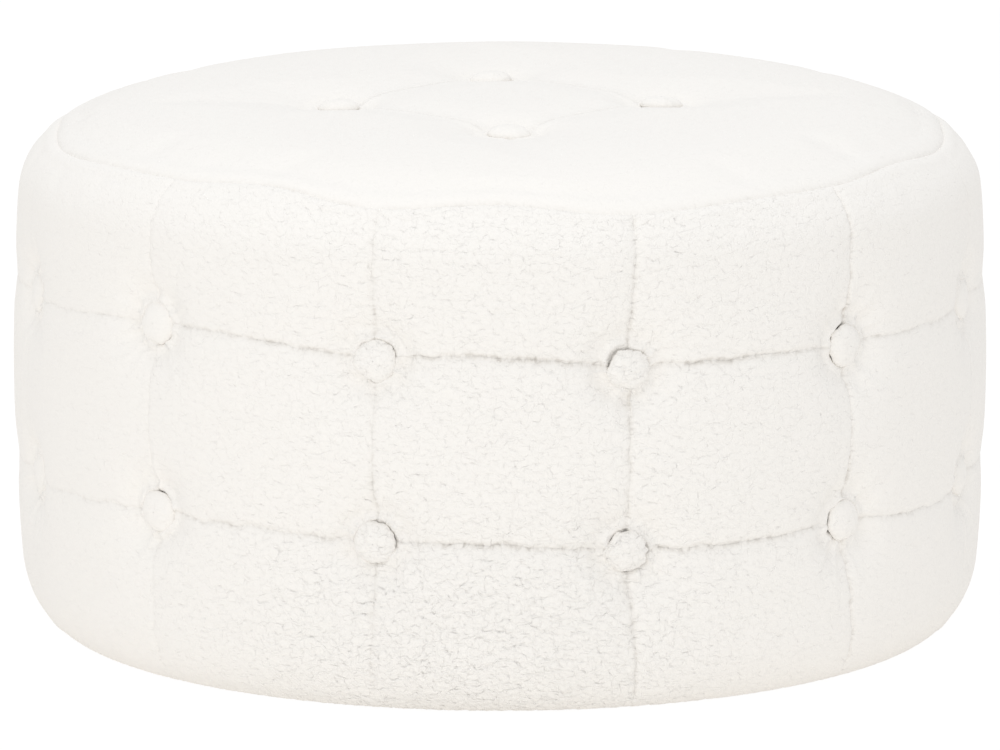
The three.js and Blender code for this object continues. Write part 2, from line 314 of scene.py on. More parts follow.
def tightness(angle):
    """How firmly the cloth is drawn in. It is slacker at both flanks than at the front and back."""
    return mix(SLACK, 1.0, np.cos(np.radians(angle - TIGHTEST)) ** 2)


def side_tuft(shape, angle, height):
    """How far the tufting draws the side inwards, and how far each point is from its column and its row."""
    k = np.round((angle - FIRST_COLUMN) / COLUMN_STEP)
    from_column = np.radians(angle - FIRST_COLUMN - k * COLUMN_STEP) * shape.radius
    rows = np.stack([height - upper_line(shape, angle), height - lower_line(shape, angle)])
    from_row = np.take_along_axis(rows, np.abs(rows).argmin(0)[None], 0)[0]
    away = np.hypot(from_column, from_row)
    tight = tightness(angle)
    creases = np.maximum(valley(COLUMN_CREASE, from_column), valley(ROW_CREASE, from_row))
    across = np.minimum(np.abs(from_column), np.abs(from_row))
    pull = valley(PULL, across) * np.exp(-away / PULL["along"])
    hollow = valley(SOFT_HOLLOW, from_column) + valley(SOFT_HOLLOW, from_row)
    dent = held(away, mix(SLACK_REACH, DENT_REACH, tight))
    inward = mix((creases + pull + hollow) * tight, shape.dent_depth, dent)
    button = 2 * k + (np.abs(rows[0]) < np.abs(rows[1]))
    turn = (np.arctan2(from_row, from_column) / (2 * np.pi) + 0.5) * GATHER["folds"]
    inward = inward + gathers(turn, away, button) - collar(turn, away, button, tight)
    return inward * smooth(height, 0, CREASE_FADE), from_column, from_row


def gathers(turn, away, button):
    """Small folds in the cloth that run out from each button, different at each."""
    fold = soft_noise(turn, button * 3.7, 1.0, GATHER["folds"], 21)
    strength = np.exp(-np.abs(away - GATHER["start"]) / GATHER["along"])
    return GATHER["depth"] * np.abs(fold) ** 0.7 * (strength * smooth(away, GATHER["from"], GATHER["start"]))


def collar(turn, away, button, tight):
    """The cloth stands up against the edge of each button, more at some places than at others."""
    uneven_by = soft_noise(turn, button * 2.3, 1.0, GATHER["folds"], 22)
    radius = mix(COLLAR["slack_radius"], COLLAR["radius"], tight)
    across = (away - radius - COLLAR["uneven"] * tight * uneven_by) / COLLAR["width"]
    return COLLAR["height"] * (0.9 - 0.25 * uneven_by) * np.exp(-(across ** 2))


def around_count(shape, size):
    """Number of cells of about a size that fit round the drum."""
    return round(2 * np.pi * shape.radius / size)


def around_size(shape, size):
    """Size of those cells."""
    return 2 * np.pi * shape.radius / around_count(shape, size)


def soft_noise(across, along, size, columns, seed):
    """Smooth unevenness from -1 to 1 that repeats after a number of cells."""
    table = np.random.default_rng(seed).random((columns, 512)) * 2 - 1
    u, v = across / size, along / size
    cell_u, cell_v = np.floor(u).astype(int), np.floor(v).astype(int)
    ease_u, ease_v = smooth(u - cell_u, 0, 1), smooth(v - cell_v, 0, 1)
    near = [[table[(cell_u + i) % columns, (cell_v + j) % 512] for j in (0, 1)] for i in (0, 1)]
    return mix(mix(near[0][0], near[1][0], ease_u), mix(near[0][1], near[1][1], ease_u), ease_v)


def pile_heights(cloth, spread=0.00045):
    """Height of the curly pile from 0 to 1 at places on the cloth, from the same nodes as in its material."""
    corners = np.array([[-1, -1, 0], [1, -1, 0], [1, 1, 0], [-1, 1, 0]]) * spread
    places = (cloth.reshape(-1, 1, 3) + corners).reshape(-1, 3)
    mesh = bpy.data.meshes.new("places")
    mesh.vertices.add(len(places))
    mesh.vertices.foreach_set("co", places.astype(np.float32).ravel())
    sampler = bpy.data.objects.new("places", mesh)
    bpy.context.scene.collection.objects.link(sampler)
    sampler.modifiers.new("Pile", "NODES").node_group = pile_sampler()
    seen = sampler.evaluated_get(bpy.context.evaluated_depsgraph_get()).data
    heights = np.zeros(len(places), np.float32)
    seen.attributes["pile"].data.foreach_get("value", heights)
    bpy.data.objects.remove(sampler)
    bpy.data.meshes.remove(mesh)
    return heights.reshape(*cloth.shape[:-1], 4).mean(-1)


def holding(away, across, from_edge):
    """How firmly the cover is held, from 0 to 1: under buttons and at edges, and less in sewn creases."""
    sewn = SEWN_HOLD["share"] * np.exp(-((across / SEWN_HOLD["width"]) ** 2))
    return np.max([1 - smooth(away, *BUTTON_HOLD), sewn, 1 - smooth(from_edge, *EDGE_HOLD)], 0)


def filled_out(points, hold, closed, taken_in):
    """The grid of a cover after its filling has pushed it out and puckered it between what holds it."""
    step = SWELLING["step"]
    coarse, pins = points[::step, ::step], hold[::step, ::step]
    moved = simulated(coarse, pins, closed) - coarse
    moved = evened(evened(moved, 0, False), 1, closed) * (1 - pins[..., None] ** 8)
    size = np.linalg.norm(moved, axis=-1, keepdims=True)
    moved = moved * np.minimum(1, SWELLING["most"] / np.maximum(size, 1e-9))
    moved = moved - taken_in * (1 - pins[..., None]) * grid_normals(coarse, closed)
    moved = smooth_between(moved, len(points), step, False)
    moved = smooth_between(moved.swapaxes(0, 1), points.shape[1], step, closed).swapaxes(0, 1)
    return points + SWELLING["share"] * moved


def evened(grid, axis, closed):
    """Takes the zigzag from point to point out of a grid, along one axis."""
    index = np.arange(grid.shape[axis])
    ends = "wrap" if closed else "clip"
    after, before = (grid.take(index + k, axis=axis, mode=ends) for k in (1, -1))
    return (before + 2 * grid + after) / 4


def smooth_between(values, count, step, closed):
    """Smooth curve through values along the first axis, read at a number of places a step apart."""
    places = np.arange(count) / step
    start = np.floor(places).astype(int)
    part = (places - start)[:, None, None]
    ends = "wrap" if closed else "clip"
    a, b, c, d = (values.take(start + k, axis=0, mode=ends) for k in (-1, 0, 1, 2))
    return b + part / 2 * (c - a + part * (2 * a - 5 * b + 4 * c - d + part * (3 * (b - c) + d - a)))


def closed_cover(grid, closed):
    """Points and faces of a grid, with a fan over each open edge so that the filling can press on it."""
    rows, columns = grid.shape[:2]
    index = np.arange(rows * columns).reshape(rows, columns)
    if closed:
        index = np.concatenate([index, index[:, :1]], 1)
        edges = [(index[0][::-1], 0.0), (index[-1], 0.01)]
    else:
        around = np.concatenate([index[0], index[1:, -1], index[-1, -2::-1], index[-2::-1, 0]])
        edges = [(around[::-1], -0.05)]
    points, faces = grid.reshape(-1, 3).tolist(), quads_of(index).tolist()
    for edge, above in edges:
        points.append([0, 0, float(grid.reshape(-1, 3)[edge, 2].mean()) + above])
        faces += [[int(a), int(b), len(points) - 1] for a, b in zip(edge[:-1], edge[1:])]
    return points, faces


def simulated(grid, pins, closed):
    """Where Blender's cloth brings the points of a grid whose pinned points stay."""
    scene = bpy.context.scene
    points, faces = closed_cover(grid, closed)
    mesh = bpy.data.meshes.new("cover")
    mesh.from_pydata(points, [], faces)
    cover = bpy.data.objects.new("cover", mesh)
    scene.collection.objects.link(cover)
    firmness = np.round(np.concatenate([pins.ravel(), np.ones(len(points) - pins.size)]), 2)
    group = cover.vertex_groups.new(name="held")
    for share in np.unique(firmness):
        group.add(np.nonzero(firmness == share)[0].tolist(), float(share), "REPLACE")
    set_cloth(cover, group.name)
    for moment in range(1, SWELLING["frames"] + 1):
        scene.frame_set(moment)
    after = np.zeros(3 * len(points), np.float32)
    cover.evaluated_get(bpy.context.evaluated_depsgraph_get()).data.vertices.foreach_get("co", after)
    bpy.data.objects.remove(cover)
    bpy.data.meshes.remove(mesh)
    scene.frame_set(1)
    return after.reshape(-1, 3)[:pins.size].reshape(grid.shape)


def set_cloth(cover, pinned):
    """Gives a cover Blender's cloth, with the pressure of its filling and without gravity."""
    modifier = cover.modifiers.new("Cloth", "CLOTH")
    modifier.point_cache.frame_start, modifier.point_cache.frame_end = 1, SWELLING["frames"]
    modifier.collision_settings.use_collision = False
    cloth = modifier.settings
    cloth.quality = 6
    cloth.tension_stiffness = cloth.compression_stiffness = SWELLING["stretch"]
    cloth.shear_stiffness = SWELLING["stretch"] / 2
    cloth.bending_stiffness = SWELLING["bending"]
    cloth.air_damping = 4
    cloth.use_pressure = True
    cloth.uniform_pressure_force = SWELLING["pressure"]
    cloth.shrink_min = cloth.shrink_max = -SWELLING["growth"]
    cloth.vertex_group_mass = pinned
    cloth.effector_weights.gravity = 0


def grid_normals(points, closed):
    """Outward unit normals of a grid of points whose rows run upwards and columns to the right."""
    if closed:
        right = np.roll(points, -1, 1) - np.roll(points, 1, 1)
    else:
        right = np.gradient(points, axis=1)
    up = np.gradient(points, axis=0)
    normals = np.cross(right, up)
    return normals / np.maximum(np.linalg.norm(normals, axis=-1, keepdims=True), 1e-12)


def quads_of(index):
    """Quads between the four neighbours in a grid of point numbers."""
    return np.stack([index[:-1, :-1], index[:-1, 1:], index[1:, 1:], index[1:, :-1]], -1).reshape(-1, 4)


def grid_mesh(name, points, marks, maps):
    """A mesh over a grid of points. marks are named values of its points, maps its UVs."""
    index = np.arange(points[..., 0].size).reshape(points.shape[:2])
    return quad_mesh(name, points.reshape(-1, 3), quads_of(index), marks, maps.reshape(-1, 2))


def quad_mesh(name, points, quads, marks, maps=None):
    """A smooth mesh of quads. Each mark is one number or one vector a point."""
    mesh = bpy.data.meshes.new(name)
    mesh.vertices.add(len(points))
    mesh.vertices.foreach_set("co", points.astype(np.float32).ravel())
    mesh.loops.add(quads.size)
    mesh.loops.foreach_set("vertex_index", quads.astype(np.int32).ravel())
    mesh.polygons.add(len(quads))
    mesh.polygons.foreach_set("loop_start", np.arange(0, quads.size, 4, dtype=np.int32))
    mesh.polygons.foreach_set("use_smooth", np.ones(len(quads), bool))
    for mark, values in marks.items():
        kind, given = ("FLOAT", "value") if values.size == len(points) else ("FLOAT_VECTOR", "vector")
        mesh.attributes.new(mark, kind, "POINT").data.foreach_set(given, values.astype(np.float32).ravel())
    if maps is not None:
        layer = mesh.uv_layers.new(name="Cloth")
        layer.uv.foreach_set("vector", maps[quads.ravel()].astype(np.float32).ravel())
    mesh.update(calc_edges=True)
    return mesh


def place(name, mesh, material, slot, nodes, fill=None):
    """Puts a finished piece on the pouffe, in the place of its plain solids."""
    piece = bpy.data.objects.new(name, mesh)
    bpy.context.scene.collection.objects.link(piece)
    mesh.materials.append(material)
    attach(piece, "root")
    if nodes:
        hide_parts(*nodes)
    return piece


def polar(angle, radius, height):
    """Points at angles from the front, radii and heights."""
    return np.stack([radius * np.sin(np.radians(angle)), -radius * np.cos(np.radians(angle)), height], -1)


def side_cloth(shape, angles):
    """The side before its pile: its points, and each one's place on the cloth, crease and hold."""
    profile = side_profile(shape)
    length = side_lengths(shape, profile, angles)
    columns = np.broadcast_to(angles, length.shape)
    height = np.interp(length, profile["length"], profile["height"])
    inward, from_column, from_row = side_tuft(shape, columns, height)
    from_seam = length[-1] - length
    across, along = np.radians(columns) * shape.radius, length - profile["length"][40]
    sideways, upwards = wiggled(shape, across, along, from_seam)
    radius, height, out, up = (np.interp(length + upwards, profile["length"], profile[name])
                               for name in ("radius", "height", "out", "up"))
    inward = inward * smooth(from_seam, 0, 2 * SEAM_VALLEY["width"]) + valley(SEAM_VALLEY, from_seam)
    sunk = inward * up * smooth(height, 0, BOTTOM_EDGE["up"])
    turned = leaned(shape, columns, height) + np.degrees(sideways / shape.radius)
    points = polar(turned, radius - inward * out, height - sunk)
    away, from_crease = np.hypot(from_column, from_row), np.minimum(np.abs(from_column), np.abs(from_row))
    firm = tightness(columns) * side_creases(columns, across, along, from_column, from_row, from_seam)
    return points, {"across": across, "along": along, "under": smooth(height, 0.0, 0.012), "crease": firm,
                    "held": holding(away, from_crease, np.minimum(along, from_seam))}


def wiggled(shape, across, along, from_seam):
    """Small shifts of the cloth, sideways and upwards, that keep its creases from running quite straight."""
    free = smooth(along, 0, 0.02) * smooth(from_seam, 0, 0.02)
    size, count = around_size(shape, WIGGLE["size"]), around_count(shape, WIGGLE["size"])
    return [WIGGLE["amount"] * free * soft_noise(across, along, size, count, seed) for seed in (51, 52)]


def pile_stand(angles, height):
    """How far the pile stands up. It lies flatter towards both flanks and towards the seam."""
    upwards = smooth(height, *STAND["heights"])
    angle, fall, share = (mix(*STAND[name], upwards) for name in ("angle", "fall", "share"))
    return mix(FLAT_STAND, 1.0, np.abs(np.cos(np.radians(angles - angle))) ** fall) * share


def sewn_line(across):
    """Nearness of the middle of a sewn crease, from 0 to 1."""
    return np.exp(-np.abs(across) / SEWN_LINE["width"])


def sewing(across, along, seed):
    """How far a sewn line wavers at a place on the cloth, and how firm it is there."""
    waver = SEWN_LINE["waver"] * soft_noise(across, along, SEWN_LINE["waver_size"], 997, seed)
    firm = SEWN_FIRM["uneven"] * soft_noise(across, along, SEWN_FIRM["size"], 991, seed + 1)
    return waver, np.clip(SEWN_FIRM["mean"] + firm, SEWN_FIRM["least"], 1)


def side_creases(columns, across, along, from_column, from_row, from_seam):
    """Nearness of the sewn creases, from 0 to 1, which sets how far they sink and how much painted shade they
    get. They are deepest above each button and along the rows.
    """
    waver, firm = sewing(across, along, 3)
    away = np.hypot(from_column, from_row)
    line = COLUMN_LINE
    above = np.where(from_row > 0, np.exp(-(((away - line["place"]) / line["width"]) ** 2)), 0.0)
    column_firm = np.array(COLUMN_FIRM)[np.round((columns - FIRST_COLUMN) / COLUMN_STEP).astype(int) % 6]
    share = line["least"] + line["near"] * np.exp(-away / line["reach"]) + line["above"] * above
    column = share * column_firm * sewn_line(from_column + waver)
    return firm * np.max([column, sewn_line(from_row + waver), SEAM_FIRM * sewn_line(from_seam)], 0)


class PouffeShape(bpy.types.PropertyGroup):
    """Sizes of the drum and its tufting"""

    radius: FloatProperty(
        name="Radius", description="Widest radius, half-way up the side", default=0.39, unit="LENGTH")
    crown_height: FloatProperty(
        name="Crown height", description="Top of the crown", default=0.422, unit="LENGTH")
    seam_height: FloatProperty(
        name="Seam height", description="Mean height of the top seam", default=0.4, unit="LENGTH")
    upper_row: FloatProperty(
        name="Upper row", description="Mean height of the upper buttons", default=0.276, unit="LENGTH")
    lower_row: FloatProperty(
        name="Lower row", description="Mean height of the lower buttons", default=0.133, unit="LENGTH")
    dent_depth: FloatProperty(
        name="Dent depth", description="How deep the buttons are drawn in", default=0.019, unit="LENGTH")
    button_radius: FloatProperty(
        name="Button radius", description="Radius of each button", default=0.0165, unit="LENGTH")
    button_height: FloatProperty(
        name="Button height", description="Height of each button", default=0.0128, unit="LENGTH")
    top_ring: FloatProperty(
        name="Top ring", description="From the middle to each top button", default=0.129, unit="LENGTH")
    top_turn: FloatProperty(
        name="Top turn", description="Degrees that the square of top buttons is turned by", default=3.0)


class PouffePile(bpy.types.PropertyGroup):
    """Size and colours of the curly pile, with the painted shade of its hollows and creases"""

    relief: FloatProperty(name="Relief", description="Height of the lumps", default=0.0016, unit="LENGTH")
    colour: FloatVectorProperty(
        name="Colour", description="Tips of the pile", default=(0.933, 0.909, 0.873),
        size=3, subtype="COLOR")
    # Painted shade: a colour a little darker than the tips, for the hollows between the lumps
    hollow: FloatVectorProperty(
        name="Hollows", description="Depths between the lumps", default=(0.922, 0.897, 0.861),
        size=3, subtype="COLOR")
    # Painted shade: a dark colour laid along the sewn creases
    crease: FloatVectorProperty(
        name="Creases", description="Depth of the sewn creases", default=(0.55, 0.51, 0.46),
        size=3, subtype="COLOR")
    base: FloatVectorProperty(
        name="Base cloth", description="Cloth of the underside", default=(0.57, 0.54, 0.48),
        size=3, subtype="COLOR")


class PouffeStudio(bpy.types.PropertyGroup):
    """Strength of the studio's lights"""

    key: FloatProperty(
        name="Key light", description="Soft light from above the front left", default=11.3, unit="POWER")
    front: FloatProperty(
        name="Front light", description="Soft light from the front", default=17.7, unit="POWER")
    top: FloatProperty(
        name="Top light", description="Soft light from straight above", default=14.8, unit="POWER")
    sky: FloatProperty(name="Surrounding light", description="Even light from all round", default=0.80)


def feed(tree, socket, value):
    """Links an input from a socket, or sets it to a value."""
    if isinstance(value, bpy.types.NodeSocket):
        tree.links.new(value, socket)
    else:
        socket.default_value = value


def add_node(tree, kind, inputs=None, **settings):
    """A node with its settings, and with its inputs set to values or linked from sockets."""
    made = tree.nodes.new(kind)
    for name, value in settings.items():
        setattr(made, name, value)
    for name, value in (inputs or {}).items():
        feed(tree, made.inputs[name], value)
    return made


def sum_of(tree, operation, *values):
    """Output of a Math node."""
    return add_node(tree, "ShaderNodeMath", dict(enumerate(values)), operation=operation).outputs[0]


def vector_of(tree, operation, a, b):
    """Output of a Vector Math node with two inputs."""
    return add_node(tree, "ShaderNodeVectorMath", {0: a, 1: b}, operation=operation).outputs[0]


def blend_of(tree, share, a, b):
    """Colour between two colours."""
    return add_node(tree, "ShaderNodeMix", {0: share, 6: a, 7: b}, data_type="RGBA").outputs[2]


def flat_noise(tree, cloth, scale, detail):
    """Noise over the cloth."""
    return add_node(tree, "ShaderNodeTexNoise", {"Vector": cloth, "Scale": scale, "Detail": detail},
                    noise_dimensions="2D")


def mark_of(tree, name, output="Fac"):
    """What a mesh was marked with at each point."""
    return add_node(tree, "ShaderNodeAttribute", attribute_name=name).outputs[output]


def range_of(tree, value, start, end, low, high, **settings):
    """Output of a Map Range node that brings start to low and end to high."""
    inputs = {"Value": value, "From Min": start, "From Max": end, "To Min": low, "To Max": high}
    return add_node(tree, "ShaderNodeMapRange", inputs, **settings).outputs[0]


def pile_relief(tree, cloth):
    """Height of the pile at a place on the cloth: bent lumps, wider than high, with smaller ones on them."""
    bend = flat_noise(tree, cloth, 1 / BEND["size"], 1.0).outputs["Color"]
    bend = vector_of(tree, "MULTIPLY", bend, (2 * BEND["amount"],) * 3)
    bent = vector_of(tree, "ADD", cloth, bend)
    swell = flat_noise(tree, cloth, 1 / SWELL["size"], 2.0).outputs["Fac"]
    height = sum_of(tree, "MULTIPLY_ADD", swell, SWELL["share"], -SWELL["share"] / 2 + 0.14)
    for lump in LUMPS:
        cells = vector_of(tree, "MULTIPLY", bent, (1 / lump["wide"], 1 / lump["high"], 0.0))
        apart = add_node(tree, "ShaderNodeTexVoronoi", {"Vector": cells, "Scale": 1.0},
                         voronoi_dimensions="2D").outputs["Distance"]
        dome = sum_of(tree, "MULTIPLY_ADD", sum_of(tree, "MULTIPLY", apart, apart), -1.6, 1.0)
        height = sum_of(tree, "MULTIPLY_ADD", dome, lump["share"], height)
    return height


def pile_sampler():
    """Node group for shapes that marks each point with the height of the pile there."""
    group = bpy.data.node_groups.get("Pile sampler")
    if group:
        return group
    group = bpy.data.node_groups.new("Pile sampler", "GeometryNodeTree")
    group.interface.new_socket("Geometry", in_out="INPUT", socket_type="NodeSocketGeometry")
    group.interface.new_socket("Geometry", in_out="OUTPUT", socket_type="NodeSocketGeometry")
    given = group.nodes.new("NodeGroupInput")
    position = add_node(group, "GeometryNodeInputPosition").outputs[0]
    inputs = {"Name": "pile", "Geometry": given.outputs[0], "Value": pile_relief(group, position)}
    store = add_node(group, "GeometryNodeStoreNamedAttribute", inputs, data_type="FLOAT", domain="POINT")
    group.links.new(store.outputs[0], group.nodes.new("NodeGroupOutput").inputs[0])
    return group


def pile_group():
    """Node group: colour, relief and roughness of the curly pile, finer than the curls of the mesh. Its colour
    holds painted shade in the hollows between the lumps and along the sewn creases.
    """
    group = bpy.data.node_groups.get("Curly pile")
    if group:
        return group
    group = bpy.data.node_groups.new("Curly pile", "ShaderNodeTree")
    face = group.interface
    for name in ("Colour", "Hollow", "Crease"):
        face.new_socket(name, in_out="INPUT", socket_type="NodeSocketColor")
    face.new_socket("Colour", in_out="OUTPUT", socket_type="NodeSocketColor")
    for name in ("Height", "Roughness"):
        face.new_socket(name, in_out="OUTPUT", socket_type="NodeSocketFloat")
    given = group.nodes.new("NodeGroupInput").outputs
    cloth, stand = mark_of(group, "cloth", "Vector"), mark_of(group, "stand")
    relief = pile_relief(group, cloth)
    fibres = flat_noise(group, cloth, 1 / FIBRES["size"], 2.0).outputs["Fac"]
    height = sum_of(group, "SUBTRACT", relief, mark_of(group, "pile"))
    height = sum_of(group, "MULTIPLY_ADD", fibres, FIBRES["share"], height)
    # Painted shade: the hollows between the lumps take the darker hollow colour, more where the pile stands up
    # more
    depth = range_of(group, relief, 0.60, 0.12, 0.0, 1.0, interpolation_type="SMOOTHSTEP")
    colour = blend_of(group, sum_of(group, "MULTIPLY", depth, stand), given["Colour"], given["Hollow"])
    # Painted shade along the sewn creases, kept off the tops of the lumps that cross them
    between_lumps = range_of(group, relief, 0.45, 0.85, 1.0, 0.1)
    sewn = sum_of(group, "MULTIPLY", mark_of(group, "crease"), between_lumps)
    colour = blend_of(group, sewn, colour, given["Crease"])
    out = group.nodes.new("NodeGroupOutput").inputs
    feed(group, out["Colour"], colour)
    feed(group, out["Height"], sum_of(group, "MULTIPLY", height, stand))
    feed(group, out["Roughness"], range_of(group, relief, 0.0, 1.0, 1.0, 0.86))
    return group


def new_material(name, values):
    """A material with values on its shader, its node tree, and its shader's inputs."""
    material = bpy.data.materials.new(name)
    material.use_nodes = True
    shader = material.node_tree.nodes["Principled BSDF"].inputs
    for socket, value in values.items():
        shader[socket].default_value = value
    return material, material.node_tree, shader


def pile_material(name, pile):
    """The curly pile as a material of its own name."""
    material = bpy.data.materials.get(name)
    if material:
        return material
    soft = {"Specular IOR Level": 0.2, "Sheen Weight": 0.15, "Sheen Roughness": 0.5}
    material, tree, shader = new_material(name, soft)
    made = add_node(tree, "ShaderNodeGroup", node_tree=pile_group())
    for socket, colour in (("Colour", pile.colour), ("Hollow", pile.hollow), ("Crease", pile.crease)):
        made.inputs[socket].default_value = (*colour, 1)
    bump = {"Strength": 1.0, "Distance": pile.relief, "Height": made.outputs["Height"]}
    feed(tree, shader["Base Color"], made.outputs["Colour"])
    feed(tree, shader["Roughness"], made.outputs["Roughness"])
    feed(tree, shader["Normal"], add_node(tree, "ShaderNodeBump", bump).outputs["Normal"])
    return material


def cloth_material(name, colour):
    """Plain woven cloth for the underside."""
    material, tree, shader = new_material(name, {"Roughness": 0.9, "Specular IOR Level": 0.2})
    here = add_node(tree, "ShaderNodeTexCoord").outputs["Object"]
    thread = {"Vector": here, "Scale": 190.0, "Distortion": 0.4, "Detail": 1.0}
    waves = [add_node(tree, "ShaderNodeTexWave", thread, bands_direction=axis) for axis in "XY"]
    weave = sum_of(tree, "MAXIMUM", *(wave.outputs["Fac"] for wave in waves))
    cloud = add_node(tree, "ShaderNodeTexNoise", {"Vector": here, "Scale": 60.0, "Detail": 4.0})
    share = sum_of(tree, "MULTIPLY_ADD", cloud.outputs["Fac"], 0.5, sum_of(tree, "MULTIPLY", weave, 0.5))
    dark = tuple(0.8 * c for c in colour)
    bump = add_node(tree, "ShaderNodeBump", {"Strength": 0.5, "Distance": 0.0004, "Height": weave})
    feed(tree, shader["Base Color"], blend_of(tree, share, (*dark, 1), (*colour, 1)))
    feed(tree, shader["Normal"], bump.outputs["Normal"])
    return material


class BuildSidePanels(bpy.types.Operator):
    """Make the tufted side from four panels that meet in its creases"""

    bl_idname = "pouffe.side_panels"
    bl_label = "Side panels"

    def execute(self, context):
        shape, pile = context.scene.pouffe_shape, context.scene.pouffe_pile
        angles = side_angles(shape)
        points, cloth = side_cloth(shape, angles)
        points = filled_out(points, cloth["held"], True, SIDE_TAKEN_IN)
        places = np.stack([cloth["across"], cloth["along"], np.zeros_like(cloth["along"])], -1)
        height, stand = pile_heights(places), pile_stand(angles, points[..., 2])
        crease, under = cloth["crease"], cloth["under"]
        lift = pile.relief * stand * (height - 0.5 - 0.5 * (1 - under)) - SEWN_LINE["depth"] * crease * under
        points = points + grid_normals(points, closed=True) * lift[..., None]
        points[..., 2] = np.maximum(points[..., 2], 0.0002)
        # Marks for the material: crease sets the painted shade along the sewn creases
        marks = {"pile": height, "crease": SIDE_CREASE_SHADE * crease, "cloth": places, "stand": stand}
        for number, side in enumerate(SIDES):
            self.add_panel(f"side_panel_{side}", points, marks, 3 * CELL_STEPS * number, shape, pile)
        return {"FINISHED"}

    def add_panel(self, name, points, marks, start, shape, pile):
        """One quarter of the side, from the grid column at its start."""
        across = np.arange(start, start + 3 * CELL_STEPS + 1)
        columns = across % points.shape[1]
        marks = {mark: values[:, columns] for mark, values in marks.items()}
        marks["cloth"][..., 0] += 2 * np.pi * shape.radius * (across >= points.shape[1])
        u, v = np.meshgrid(np.linspace(0.01, 0.99, len(columns)), np.linspace(0.01, 0.99, len(points)))
        mesh = grid_mesh(name, points[:, columns], marks, np.stack([u, v], -1))
        place(name, mesh, pile_material("Curly pile cover", pile), "pile_fabric", ["side_band"], fill=0.9)


def crown_height(shape, angle, radius):
    """Height of the untufted top."""
    seam = seam_line(shape, angle)
    fall = (radius / side_radius(shape, seam)) ** CROWN_FULLNESS
    return shape.crown_height - (shape.crown_height - seam) * fall


def square_turn(shape, angle):
    """Angle from the middle of the nearest side of the square whose corners are the top buttons."""
    return (angle - shape.top_turn) % 90 - 45


def top_tuft(shape, angle, radius):
    """How far the tufting draws the top down, and how far each point is from its square and from a button."""
    here = polar(angle, radius, np.zeros_like(radius))
    buttons = [polar(shape.top_turn + 90 * k, shape.top_ring, 0.0) for k in range(4)]
    away = np.min([np.linalg.norm(here - button, axis=-1) for button in buttons], 0)
    turn = np.abs(square_turn(shape, angle))
    half = shape.top_ring * math.sqrt(0.5)
    from_square = radius * np.cos(np.radians(turn)) - half
    from_spoke = radius * np.sin(np.radians(45 - turn))
    outside = smooth(radius, shape.top_ring - TOP_PULL["width"], shape.top_ring + TOP_PULL["width"])
    pull = valley(TOP_PULL, from_spoke) * np.exp(-away / TOP_PULL["along"]) * outside
    inward = valley(TOP_CREASE, from_square) + pull + valley(SOFT_HOLLOW, from_square)
    rim = TOP_COLLAR * np.exp(-(((away - COLLAR["radius"]) / COLLAR["width"]) ** 2))
    return mix(inward, TOP_DENT["depth"], held(away, TOP_DENT["reach"])) - rim, from_square, away


def top_grid(shape):
    """Steps of the top's grid from its middle, the angle and radius of each point, and its seam's radius."""
    steps = np.arange(-TOP_RINGS, TOP_RINGS + 1, dtype=float)
    x, y = np.meshgrid(steps, steps)
    wide, high = np.abs(x), np.abs(y)
    part = np.maximum(wide, high) / TOP_RINGS
    half = shape.top_ring * math.sqrt(0.5)
    square = np.stack([x, y]) * (half / round(half / TOP_STEP))
    sideways = np.where(wide >= high, y / np.maximum(wide, 1e-9), x / np.maximum(high, 1e-9))
    facing = np.where(wide >= high, np.where(x >= 0, 0.0, 180.0), np.where(y >= 0, 90.0, -90.0))
    swing = np.where(wide >= high, np.sign(x), -np.sign(y)) * np.degrees(np.pi / 4 * sideways)
    round_angle, edge = np.radians(facing + swing), shape.radius - TOP_EDGE_INWARD
    circle = np.stack([np.cos(round_angle), np.sin(round_angle)]) * part * edge
    flat = mix(square, circle, smooth(part, *TOP_ROUNDS))
    turn = math.radians(45 + shape.top_turn)
    east = flat[0] * math.cos(turn) - flat[1] * math.sin(turn)
    north = flat[0] * math.sin(turn) + flat[1] * math.cos(turn)
    angle = np.degrees(np.arctan2(east, -north))
    seam_radius = side_radius(shape, seam_line(shape, angle))
    radius = np.hypot(east, north) + (seam_radius - edge) * smooth(part, 0.5, 1.0) ** 2
    return np.stack([x, y], -1), angle, np.minimum(radius, seam_radius - GAP), seam_radius


class BuildTopPanel(bpy.types.Operator):
    """Make the crowned top, tufted by four buttons"""

    bl_idname = "pouffe.top_panel"
    bl_label = "Top panel"

    def execute(self, context):
        shape, pile = context.scene.pouffe_shape, context.scene.pouffe_pile
        steps, angle, radius, seam_radius = top_grid(shape)
        inward, from_square, away = top_tuft(shape, angle, radius)
        from_seam = seam_radius - radius
        inward = inward * smooth(from_seam, 0, 2 * SEAM_VALLEY["width"]) + valley(SEAM_VALLEY, from_seam)
        at_seam = leaned(shape, angle, np.full_like(angle, shape.seam_height))
        turned = mix(angle, at_seam, smooth(radius, seam_radius / 2, seam_radius))
        points = polar(turned, radius, crown_height(shape, angle, radius) - inward)
        points = filled_out(points, holding(away, np.abs(from_square), from_seam), False, TOP_TAKEN_IN)
        places = np.stack([points[..., 0] + 5, points[..., 1] + 5, np.zeros_like(radius)], -1)
        height = pile_heights(places)
        waver, firm = sewing(places[..., 0], places[..., 1], 5)
        crease = firm * sewn_line(np.minimum(np.abs(from_square + waver), from_seam))
        lift = pile.relief * TOP_STAND * (height - 0.5) - SEWN_LINE["depth"] * crease
        points = points + grid_normals(points, closed=False) * lift[..., None]
        # Marks for the material: crease sets the painted shade along the sewn creases
        marks = {"pile": height, "crease": TOP_CREASE_SHADE * crease, "cloth": places,
                 "stand": np.full(angle.shape, TOP_STAND)}
        mesh = grid_mesh("top_cover", points, marks, steps / (2.04 * TOP_RINGS) + 0.5)
        cover = pile_material("Curly pile cover", pile)
        place("top_cover", mesh, cover, "pile_fabric", ["top_panel"], fill=0.9)
        return {"FINISHED"}


